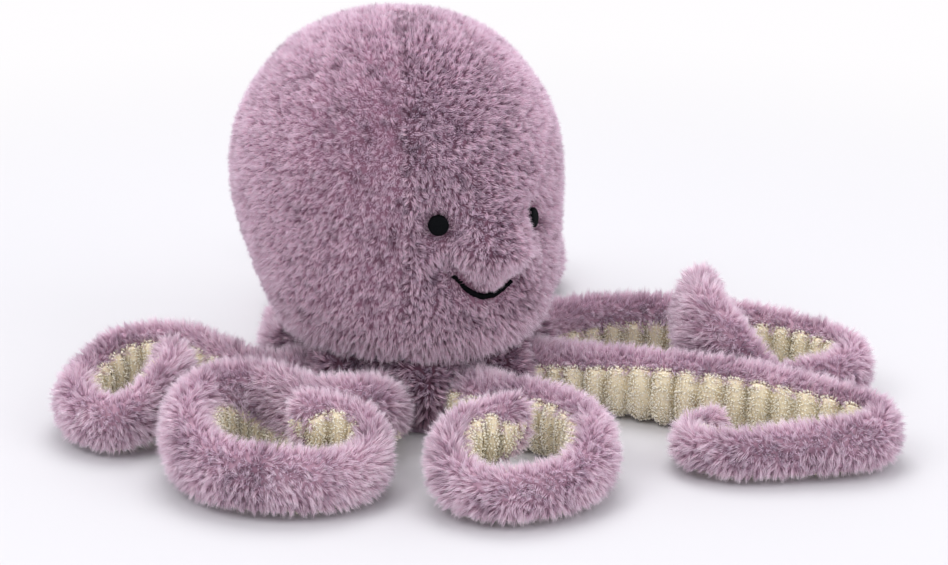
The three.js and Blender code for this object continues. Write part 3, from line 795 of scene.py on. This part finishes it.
def make_head_panel(node, number, skin, normals, line, pile_tree, lock, fur):
    first, last = (round((edge + 180) / 360 * HEAD_COLUMNS) for edge in PANELS[node])
    columns = np.arange(first, last + 1) % HEAD_COLUMNS
    backing = skin - normals * BACKING
    points, faces = thick_sheet(skin[columns], backing[columns])
    piece = mesh_piece(node.replace("panel", "fur"), points, faces, fur)
    dress_head(piece, line, skin[[first % HEAD_COLUMNS, last % HEAD_COLUMNS]])
    grow_pile(piece, pile_tree, "head", lock, fur, number * HEAD_SEED_STEP)
    finish_piece(piece, HEAD, "head_fur", node)


def make_head_stuffing(skin, normals, fibre):
    filling = skin - normals * HEAD_STUFFING_INSET
    rings = np.swapaxes(filling[:, 1:], 0, 1)[:, ::HEAD_STUFFING_STEP]
    points, faces = closed_tube(rings)
    core = mesh_piece("head_stuffing", points, faces, fibre)
    finish_piece(core, HEAD, "fibre_filling", "head_filling")


def dress_head(piece, line, seams):
    """Comb the pile down and away from eyes and smile, short beside them and at the seams, with a
    painted highlight round the smile.
    """
    points, normals = points_of(piece), normals_of(piece)
    to_eye, from_eye, to_smile, from_smile = face_distances(points, line)
    down = np.tile((0.0, 0.0, -1.0), (len(points), 1))
    comb = down + HEAD_WANDER * wandering(points, HEAD_WANDER_SIZE, 1)
    for near, away in zip(to_eye, from_eye):
        comb += fading(near, *EYE_FAN)[:, None] * unit(away)
    comb += fading(to_smile, *SMILE_FAN)[:, None] * unit(from_smile)
    pile = np.ones(len(points))
    for near in to_eye:
        shorten(pile, near, EYE_PILE, EYE_BARE, EYE_WHOLE_PILE)
    shorten(pile, to_smile, SMILE_PILE, SMILE_BARE, SMILE_WHOLE_PILE)
    shade = patchy(points, HEAD_TONE, (*HEAD_PATCH, 4), (*HEAD_FLECK, 5))
    # Painted highlight round the smile
    shade += fading(to_smile, *SMILE_PAINTED_HIGHLIGHT)
    for seam in seams:
        to_seam = np.linalg.norm(points[:, None] - seam[None, ::2], axis=2).min(1)
        parting = fading(to_seam, 1, SEAM_PARTING)
        pile *= 1 - SEAM_SHORTER * parting
        shade -= SEAM_DARKER * parting
    pile *= NECK_PILE - (NECK_PILE - 1) * smooth_step(points[:, 2], NECK_FROM, NECK_TO)
    pile[np.sum((points - HEAD_MIDDLE) * normals, 1) < 0] = 0
    mark_skin(piece, laid_on(comb, normals), pile, np.clip(shade, 0, 1))


def finish_piece(piece, body, slot, *nodes):
    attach(piece, body)
    if nodes:
        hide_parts(*nodes)


# Face

def make_eyes(thread):
    for node in ("left_eye", "right_eye"):
        points, _ = welded(node)
        middle = points.mean(0)
        spread = points - middle
        axis = np.linalg.svd(spread)[2][2]
        axis = axis * np.sign(np.dot(axis, middle - HEAD_MIDDLE))
        top = middle + axis * (spread @ axis).max()
        build_eye(node.replace("eye", "eye_stitching"), top, axis, thread, node)


def build_eye(name, place, out, thread, node):
    """A low dome of satin stitches, with a deep edge that reaches the skin."""
    aside = unit(np.cross(out, (0.0, 0.0, 1.0)))
    up = np.cross(aside, out)
    rings = []
    for share, height in EYE_PROFILE:
        ring = []
        for side in range(EYE_SIDES):
            turn = 2 * math.pi * side / EYE_SIDES
            x = share * EYE_RADIUS * math.cos(turn)
            y = share * EYE_RADIUS * math.sin(turn)
            ridge = EYE_RIDGE * abs(math.sin(math.pi * y / EYE_RIDGE_PITCH)) if height > -1 else 0
            ripple = EYE_EDGE_RIPPLE * math.sin(EYE_EDGE_RIPPLES * turn) if share > 0.9 else 0
            edge = 1 + ripple
            ring.append(place + aside * x * edge + up * y * edge
                        + out * (height * MM + ridge + EYE_LIFT))
        rings.append(ring)
    points, faces = closed_tube(np.array(rings))
    piece = mesh_piece(name, points, faces, thread)
    finish_piece(piece, HEAD, "black_thread", node)


def make_smile(line, surface, normals, thread):
    """Satin stitches laid side by side across the smile's line."""
    spots, ways = surface.reshape(-1, 3), normals.reshape(-1, 3)
    points, faces = [], []
    for number, step in enumerate(np.linspace(0, len(line) - 1, STITCHES)):
        i = min(int(step), len(line) - 2)
        place = line[i] + (line[i + 1] - line[i]) * (step - i)
        along = unit(line[min(i + 1, len(line) - 1)] - line[max(i - 1, 0)])
        out = ways[((spots - place) ** 2).sum(1).argmin()]
        some, more = closed_tube(stitch(place, along, out, step / (len(line) - 1), number))
        faces += [[len(points) + c for c in face] for face in more]
        points += [tuple(p) for p in some]
    piece = mesh_piece("smile_stitches", points, faces, thread)
    finish_piece(piece, HEAD, "black_thread", "smile_stitching")


def stitch(place, along, out, way, number):
    """The rings of one plump stitch, the shorter the nearer way, its share along the smile, is
    to an end."""
    across = unit(np.cross(out, along) + STITCH_SLANT * along)
    taper = 0.6 + 0.4 * math.sin(math.pi * min(max(way, 0.04), 0.96)) ** 0.5
    half = STITCH_LENGTH / 2 * taper * (1 + 0.06 * math.sin(number * 2.3))
    rings = []
    for share in STITCH_SHARES:
        plump = math.sqrt(max(0.05, 1 - share * share))
        ring = []
        for side in range(STITCH_SIDES):
            turn = side * 2 * math.pi / STITCH_SIDES
            ring.append(place + across * share * half
                        + along * STITCH_WIDTH / 2 * plump * math.cos(turn)
                        + out * (STITCH_WIDTH * 0.9 * plump * math.sin(turn)
                                 + STITCH_CROWN * (1 - share * share) + STITCH_LIFT))
        rings.append(ring)
    return np.array(rings)


# Arms

def read_arm(arm):
    """An arm's middle line, its left, its half width and half height, its lift off the floor and
    the turn its ribs face, measured off its solids ring by ring."""
    joint = next(j for j in frame["joints"] if j["child"] == arm)
    out = np.array([-joint["axis"][1], joint["axis"][0], 0.0])
    start = SEAM_RADIUS + 0.05 * MM
    panels = [ring_layers(f"{arm}_{kind}_panel", lambda p: p @ out < start)
              for kind in ("fur", "ribbed")]
    centres = []
    for fur, ribs in zip(*panels):
        both = np.vstack([fur, ribs])
        flat = both[:, :2] - both[:, :2].mean(0)
        way = np.linalg.svd(flat)[2][0]
        spans = flat @ way
        centres.append(both[:, :2].mean(0) + way * (spans.max() + spans.min()) / 2)
    centres = np.array(centres)
    tangents = unit(np.gradient(centres, axis=0))
    tangents[0] = out[:2]
    rows = []
    for centre, tangent, fur, ribs in zip(centres, tangents, *panels):
        left = np.array([-tangent[1], tangent[0]])
        both = np.vstack([fur, ribs])
        wide = (both[:, :2] - centre) @ left
        low, high = both[:, 2].min(), both[:, 2].max()
        tall = (high - low) / (1 + STAND_SHARE)
        rib_side = ((ribs[:, :2] - centre) @ left).mean() / wide.max()
        rib_up = (ribs[:, 2].mean() - low - STAND_SHARE * tall) / tall
        rows.append([*centre, (wide.max() - wide.min()) / 2, tall, low,
                     math.atan2(rib_up, rib_side)])
    rows = np.array(rows)
    rows[:, 5] = np.unwrap(rows[:, 5])
    rows[-2:, 2:4] = rows[-3, 2:4]
    return out, rows


def arm_stations(out, rows):
    root = rows[0].copy()
    root[:2] -= out[:2] * ROOT_OVERLAP
    table = resampled(rows, ARM_STATIONS)
    lead = np.linspace(root, table[0], ROOT_STATIONS, endpoint=False)
    table = np.vstack([lead, table])
    place = table[:, :2]
    gaps = np.linalg.norm(np.diff(place, axis=0), axis=1)
    distance = np.concatenate([[0], np.cumsum(gaps)]) - ROOT_OVERLAP
    tangent = unit(np.gradient(place, axis=0))
    left = np.stack([-tangent[:, 1], tangent[:, 0], np.zeros(len(table))], 1)
    end = distance[-1]
    blunt = TIP_SHARE * table[:, 2]
    past = np.clip((distance - (end - blunt)) / blunt, 0, TIP_END)
    return {
        "place": place, "left": left, "wide": table[:, 2], "tall": table[:, 3],
        "low": table[:, 4], "rib": table[:, 5], "distance": distance,
        "round": np.sqrt(1 - past ** 2), "tangent": tangent,
    }


def section(arm, turns, inset):
    """Points round each station of an arm: turns and inset are grids or plain numbers."""
    turns, inset = np.broadcast_arrays(turns, inset)
    wide = (arm["wide"] * arm["round"])[:, None] - inset
    tall = (arm["tall"] * arm["round"])[:, None] - inset
    wide, tall = np.maximum(wide, THINNEST), np.maximum(tall, THINNEST)
    aside, up = wide * np.cos(turns), tall * np.sin(turns)
    height = STAND_SHARE * arm["tall"][:, None] + up
    floor = np.minimum(inset, FLOOR_CLEARANCE)
    height = floor + soft_floor(height - floor, FLOOR_ROUNDING) + arm["low"][:, None]
    points = np.empty((*aside.shape, 3))
    points[..., :2] = arm["place"][:, None] + arm["left"][:, None, :2] * aside[..., None]
    points[..., 2] = height
    return points


def soft_floor(height, width):
    """The height, held above zero with a rounded corner."""
    return 0.5 * (height + np.sqrt(height ** 2 + width ** 2))


def rib_half_turn(arm):
    end = arm["distance"][-1]
    closing = smooth_step(arm["distance"], end - RIB_CLOSING_FROM, end - RIB_CLOSING_TO)
    return radians(RIB_HALF_ANGLE - RIB_CLOSING_ANGLE * closing)


def make_arm(name, number, pile_tree, locks, materials):
    out, rows = read_arm(name)
    arm = arm_stations(out, rows)
    make_arm_fur(name, number, arm, pile_tree, locks["fur"], materials["arm pile"])
    make_ribs(name, number, arm, pile_tree, locks["chenille"], materials["chenille"])
    make_arm_stuffing(name, arm, materials["fibre"])


def make_arm_fur(name, number, arm, pile_tree, lock, fur):
    half, rib = rib_half_turn(arm)[:, None], arm["rib"][:, None]
    lap = radians(FUR_LAP)
    turns = rib + half - lap + np.linspace(0, 1, FUR_TURNS) * (2 * math.pi - 2 * half + 2 * lap)
    outer = section(arm, turns, ARM_SKIN_INSET)
    inner = section(arm, turns, ARM_SKIN_INSET + BACKING)
    points, faces = thick_sheet(outer, inner)
    piece = mesh_piece(f"{name}_fur", points, faces, fur)
    dress_arm(piece, arm, number)
    grow_pile(piece, pile_tree, "arm", lock, fur, ARM_SEED + number * ARM_SEED_STEP)
    finish_arm_piece(piece, f"{name}_fur_panel")


def make_arm_stuffing(name, arm, fibre):
    turns = np.linspace(0, 2 * math.pi, STUFFING_SIDES, endpoint=False)[None]
    points, faces = closed_tube(section(arm, turns, STUFFING_INSET)[:-STUFFING_SHORT])
    piece = mesh_piece(f"{name}_stuffing", points, faces, fibre)
    finish_arm_piece(piece, f"{name}_filling")


def finish_arm_piece(piece, node):
    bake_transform(piece)
    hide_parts(node)


def nearest_station(points, arm):
    gaps = points[:, None, :2] - arm["place"][None]
    return (gaps ** 2).sum(2).argmin(1)


def outward_pile(points, normals, arm, station):
    """Whole pile where the skin faces away from the arm's middle line, and none behind it."""
    middle = np.zeros_like(points)
    middle[:, :2] = arm["place"][station]
    middle[:, 2] = arm["low"][station] + STAND_SHARE * arm["tall"][station]
    return np.where(np.sum((points - middle) * normals, 1) > 0, 1.0, 0.0)


def dress_arm(piece, arm, number):
    """Comb the pile towards the tip, and shorten it near the floor and underneath."""
    points, normals = points_of(piece), normals_of(piece)
    station = nearest_station(points, arm)
    tangent = np.zeros_like(points)
    tangent[:, :2] = arm["tangent"][station]
    comb = tangent + ARM_WANDER * wandering(points, ARM_WANDER_SIZE, number + 9)
    comb[:, 2] -= ARM_DROOP
    pile = outward_pile(points, normals, arm, station)
    above = smooth_step(points[:, 2], FLOOR_PILE_FROM, FLOOR_PILE_TO)
    pile *= FLOOR_PILE + (1 - FLOOR_PILE) * above
    under = (normals[:, 2] < UNDER_TILT) & (points[:, 2] < UNDER_HEIGHT)
    pile[under] = np.where(pile[under] > 0, UNDER_PILE, 0)
    shade = patchy(points, ARM_TONE, (*ARM_PATCH, number + 30), (*ARM_FLECK, number + 40))
    mark_skin(piece, laid_on(comb, normals), pile, np.clip(shade, 0, 1))


def make_ribs(name, number, arm, pile_tree, lock, cream):
    half, rib = rib_half_turn(arm)[:, None], arm["rib"][:, None]
    across = np.linspace(-1, 1, RIB_TURNS)
    turns = rib + across * (half + radians(RIB_LAP))
    phase = math.pi * arm["distance"][:, None] / RIB_PITCH + RIB_SKEW * np.sin(RIB_SKEW_TURN * across)
    swell = np.abs(np.sin(phase)) ** RIB_FULLNESS
    edge = 1 - smooth_step(np.abs(across), RIB_EDGE, 1.0)
    inset = RIB_CREST_INSET + RIB_DEPTH * (1 - swell * edge)
    outer = section(arm, turns, inset)
    inner = section(arm, turns, np.full_like(inset, RIB_CREST_INSET + RIB_DEPTH + BACKING))
    points, faces = thick_sheet(outer, inner)
    piece = mesh_piece(f"{name}_ribs", points, faces, cream)
    dress_ribs(piece, arm, number)
    grow_pile(piece, pile_tree, "ribs", lock, cream, RIB_SEED + number * ARM_SEED_STEP)
    finish_arm_piece(piece, f"{name}_ribbed_panel")


def dress_ribs(piece, arm, number):
    """Loops that lie every way, with painted shade in the grooves between the ribs and painted light
    on their crests.
    """
    points, normals = points_of(piece), normals_of(piece)
    station = nearest_station(points, arm)
    pile = outward_pile(points, normals, arm, station)
    comb = unit(wandering(points, RIB_WANDER_SIZE, number + 60))
    crest = np.abs(np.sin(math.pi * arm["distance"][station] / RIB_PITCH))
    # Painted shade in the grooves and painted light on the crests
    shade = GROOVE_PAINTED_SHADE + CREST_PAINTED_LIGHT * crest
    shade += RIB_PATCH * wandering(points, RIB_PATCH_SIZE, number + 70)[:, 0]
    mark_skin(piece, comb, pile, np.clip(shade, 0, 1))


# Base

def octagon(inradius, height, inset=0.0):
    corner = (inradius - inset) / math.cos(math.pi / 8)
    turns = math.pi / 8 + np.arange(8) * math.pi / 4
    return np.stack([corner * np.cos(turns), corner * np.sin(turns), np.full(8, height)], 1)


def make_base(pile_tree, lock, materials):
    make_seam_band(pile_tree, lock, materials["head pile"])
    make_base_cloth(materials["base cloth"])
    make_bean_pouch(materials["cotton"])


def make_seam_band(pile_tree, lock, fur):
    """The fur round the body, puffed out a little between the arms, and darkened all over with painted
    shade.
    """
    low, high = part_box("arm_seam_band")
    inradius = high.x
    turns = np.linspace(0, 2 * math.pi, BAND_SIDES, endpoint=False)
    reach = inradius / np.maximum(np.cos((turns + math.pi / 8) % (math.pi / 4) - math.pi / 8), 0.1)
    between_arms = 0.5 - 0.5 * np.cos(8 * turns)
    around = np.stack([np.sin(turns), -np.cos(turns)], 1)
    outer = []
    for up in np.linspace(0, 1, BAND_ROWS):
        puff = BASE_PUFF * between_arms * math.sin(math.pi * up) ** PUFF_FULLNESS
        flat = around * (reach - BAND_OUTER_INSET + puff)[:, None]
        outer.append(np.column_stack([flat, np.full(len(turns), low.z + up * (high.z - low.z))]))
    outer = np.array(outer)
    inner = outer.copy()
    inner[..., :2] = around * (inradius - BAND_INNER_INSET)
    grid = np.concatenate([outer, outer[:, :1]], 1)
    under = np.concatenate([inner, inner[:, :1]], 1)
    points, faces = thick_sheet(grid, under)
    band = mesh_piece("seam_band_fur", points, faces, fur)
    points, normals = points_of(band), normals_of(band)
    down = np.tile((0.0, 0.0, -1.0), (len(points), 1))
    comb = down + BAND_WANDER * wandering(points, BAND_WANDER_SIZE, 80)
    flat = unit(points * np.array([1, 1, 0]))
    pile = np.where(np.sum(flat * normals, 1) > 0.5, 1.0, 0.0)
    # Painted shade, the same all round the band
    mark_skin(band, unit(comb), pile, np.full(len(points), BAND_PAINTED_SHADE))
    grow_pile(band, pile_tree, "seam band", lock, fur, BAND_SEED)
    finish_piece(band, HEAD, "head_fur", "arm_seam_band")


def make_base_cloth(cloth):
    low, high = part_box("base_cloth")
    heights = (low.z, low.z, low.z + CLOTH_BEVEL, high.z - CLOTH_BEVEL, high.z, high.z)
    insets = (CLOTH_MARGIN, CLOTH_BEVEL, 0.0, 0.0, CLOTH_BEVEL, CLOTH_MARGIN)
    rings = [octagon(high.x, height, inset) for height, inset in zip(heights, insets)]
    points, faces = closed_tube(np.array(rings))
    base = mesh_piece("base_cloth_panel", points, faces, cloth)
    finish_piece(base, HEAD, "base_fabric", "base_cloth")


def make_bean_pouch(cotton):
    low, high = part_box("bean_pouch")
    middle, radius, half = (low + high) / 2, (high.x - low.x) / 2, (high.z - low.z) / 2
    turn = np.linspace(0, 2 * math.pi, POUCH_SIDES, endpoint=False)
    rings = []
    for step in np.linspace(-POUCH_END, POUCH_END, POUCH_ROWS):
        out = radius * (1 - POUCH_CROWN * abs(step) ** 3)
        dent = 1 - POUCH_DENT * np.cos(POUCH_DENTS * turn + POUCH_TWIST * step)
        rings.append(np.stack([out * dent * np.cos(turn), out * dent * np.sin(turn),
                               np.full(POUCH_SIDES, middle.z + half * step)], 1))
    points, faces = closed_tube(np.array(rings))
    pouch = mesh_piece("bean_bag", points, faces, cotton)
    finish_piece(pouch, HEAD, "pouch_cotton", "bean_pouch")


# Studio

def camera_axes():
    turn, rise = math.radians(CAMERA_AZIMUTH), math.radians(CAMERA_ELEVATION)
    back = Vector((math.sin(turn) * math.cos(rise), -math.cos(turn) * math.cos(rise),
                   math.sin(rise)))
    right = Vector((math.cos(turn), math.sin(turn), 0))
    return back, right, back.cross(right)


def make_camera():
    back, right, up = camera_axes()
    aside = (IMAGE_WIDTH / 2 - BASE_PIXEL_X) * PIXEL_SIZE
    above = (BASE_PIXEL_Y - IMAGE_HEIGHT / 2) * PIXEL_SIZE
    target = right * aside + up * above
    data = bpy.data.cameras.new("Camera")
    data.sensor_width = SENSOR_WIDTH
    data.lens = SENSOR_WIDTH * CAMERA_DISTANCE / (IMAGE_WIDTH * PIXEL_SIZE)
    camera = bpy.data.objects.new("Camera", data)
    bpy.context.scene.collection.objects.link(camera)
    camera.location = back * CAMERA_DISTANCE
    camera.rotation_mode = "QUATERNION"
    camera.rotation_quaternion = (target - camera.location).to_track_quat("-Z", "Y")
    bpy.context.scene.camera = camera


def make_lamp(name, place, target, size, power):
    data = bpy.data.lights.new(name, "AREA")
    data.shape = "DISK"
    data.size = size
    data.energy = power
    lamp = bpy.data.objects.new(name, data)
    bpy.context.scene.collection.objects.link(lamp)
    lamp.location = place
    lamp.rotation_mode = "QUATERNION"
    lamp.rotation_quaternion = (Vector(target) - Vector(place)).to_track_quat("-Z", "Y")


def make_lamps():
    back, right, _ = camera_axes()
    for name, (behind, aside, above, faced, width, power) in LAMPS.items():
        place = back * behind + right * aside + Vector((0, 0, above))
        make_lamp(name, place, (0, 0, faced), width, power)


def make_world():
    """A plain sky that lights the object, and shows as the background."""
    world = bpy.data.worlds.new("Studio")
    world.use_nodes = True
    bpy.context.scene.world = world
    tree = world.node_tree
    light = tree.nodes["Background"]
    light.inputs["Color"].default_value = (*SKY_COLOUR, 1)
    light.inputs["Strength"].default_value = SKY_STRENGTH
    seen = tree.nodes.new("ShaderNodeBackground")
    seen.inputs["Color"].default_value = (*BACKGROUND_COLOUR, 1)
    seen.inputs["Strength"].default_value = 1.0
    rays = tree.nodes.new("ShaderNodeLightPath")
    either = tree.nodes.new("ShaderNodeMath")
    either.operation = "MAXIMUM"
    mix = tree.nodes.new("ShaderNodeMixShader")
    tree.links.new(rays.outputs["Is Camera Ray"], either.inputs[0])
    tree.links.new(rays.outputs["Is Glossy Ray"], either.inputs[1])
    tree.links.new(either.outputs[0], mix.inputs[0])
    tree.links.new(light.outputs[0], mix.inputs[1])
    tree.links.new(seen.outputs[0], mix.inputs[2])
    tree.links.new(mix.outputs[0], tree.nodes["World Output"].inputs["Surface"])


def make_floor():
    mesh = bpy.data.meshes.new("Floor")
    corners = [(x * FLOOR_REACH, y * FLOOR_REACH, 0) for x, y in ((-1, -1), (1, -1), (1, 1), (-1, 1))]
    mesh.from_pydata(corners, [], [(0, 1, 2, 3)])
    floor = bpy.data.objects.new("Floor", mesh)
    bpy.context.scene.collection.objects.link(floor)
    mesh.materials.append(floor_material())


def floor_material():
    """A pale floor that shows as the white background from WHITE_FROM outwards."""
    material, tree, shader = new_material("Floor", 0.9, 0.1)
    shader.inputs["Base Color"].default_value = (*FLOOR_COLOUR, 1)
    place = tree.nodes.new("ShaderNodeTexCoord")
    distance = tree.nodes.new("ShaderNodeVectorMath")
    distance.operation = "LENGTH"
    far = tree.nodes.new("ShaderNodeMapRange")
    far.interpolation_type = "SMOOTHSTEP"
    far.inputs["From Min"].default_value = WHITE_FROM
    far.inputs["From Max"].default_value = WHITE_TO
    rays = tree.nodes.new("ShaderNodeLightPath")
    both = tree.nodes.new("ShaderNodeMath")
    both.operation = "MULTIPLY"
    white = tree.nodes.new("ShaderNodeEmission")
    white.inputs["Color"].default_value = (*BACKGROUND_COLOUR, 1)
    mix = tree.nodes.new("ShaderNodeMixShader")
    tree.links.new(place.outputs["Object"], distance.inputs[0])
    tree.links.new(distance.outputs["Value"], far.inputs["Value"])
    tree.links.new(far.outputs["Result"], both.inputs[0])
    tree.links.new(rays.outputs["Is Camera Ray"], both.inputs[1])
    tree.links.new(both.outputs[0], mix.inputs[0])
    tree.links.new(shader.outputs[0], mix.inputs[1])
    tree.links.new(white.outputs[0], mix.inputs[2])
    tree.links.new(mix.outputs[0], tree.nodes["Material Output"].inputs["Surface"])
    return material


def build():
    noise.seed_set(NOISE_SEED)
    clear_start_scene()
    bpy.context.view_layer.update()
    make_camera()
    make_lamps()
    make_world()
    make_floor()
    bpy.context.scene.view_settings.view_transform = "Standard"

    materials = make_materials()
    pile_tree = pile_nodes()
    locks = {
        "fur": lock_of_pile("Fur lock", blades=13, spread=1.1, width=0.38, flare=0.55, seed=11),
        "chenille": knot_of_yarn("Chenille knot", sides=3, width=1.5),
    }
    surface, normals, line = make_head(pile_tree, locks["fur"], materials)
    make_eyes(materials["thread"])
    make_smile(line, surface, normals, materials["thread"])
    for number, name in enumerate(ARMS):
        make_arm(name, number, pile_tree, locks, materials)
    make_base(pile_tree, locks["fur"], materials)
    for lock in locks.values():
        bpy.data.objects.remove(lock)


build()
